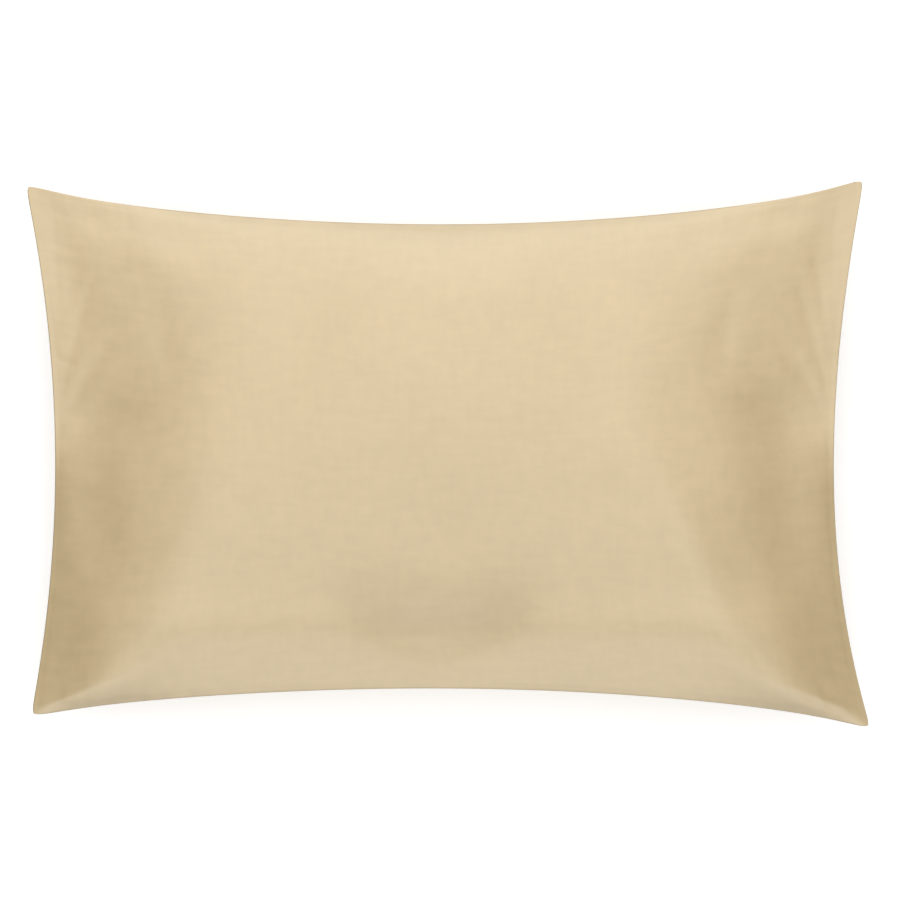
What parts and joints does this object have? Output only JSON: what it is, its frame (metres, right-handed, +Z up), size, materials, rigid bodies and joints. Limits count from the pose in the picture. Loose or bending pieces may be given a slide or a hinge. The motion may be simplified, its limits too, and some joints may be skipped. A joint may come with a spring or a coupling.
{
  "type": "pillowcase",
  "caption": "Plain satin pillowcase, filled by its pillow and lying on its back, with a crowned front, drawn-in seamed sides and soft pointed corners.",
  "frame": {"origin": "on the surface that the pillowcase rests on, under the middle of its outline", "axes": "+X along the case's length, +Y across it towards the picture's top edge, +Z up from the surface towards the picture's camera"},
  "size_m": [0.7328, 0.4752, 0.186],
  "materials": {
    "satin": "champagne satin weave with a soft sheen"
  },
  "bodies": {
    "root": {"pillowcase": "satin"}
  },
  "joints": []
}
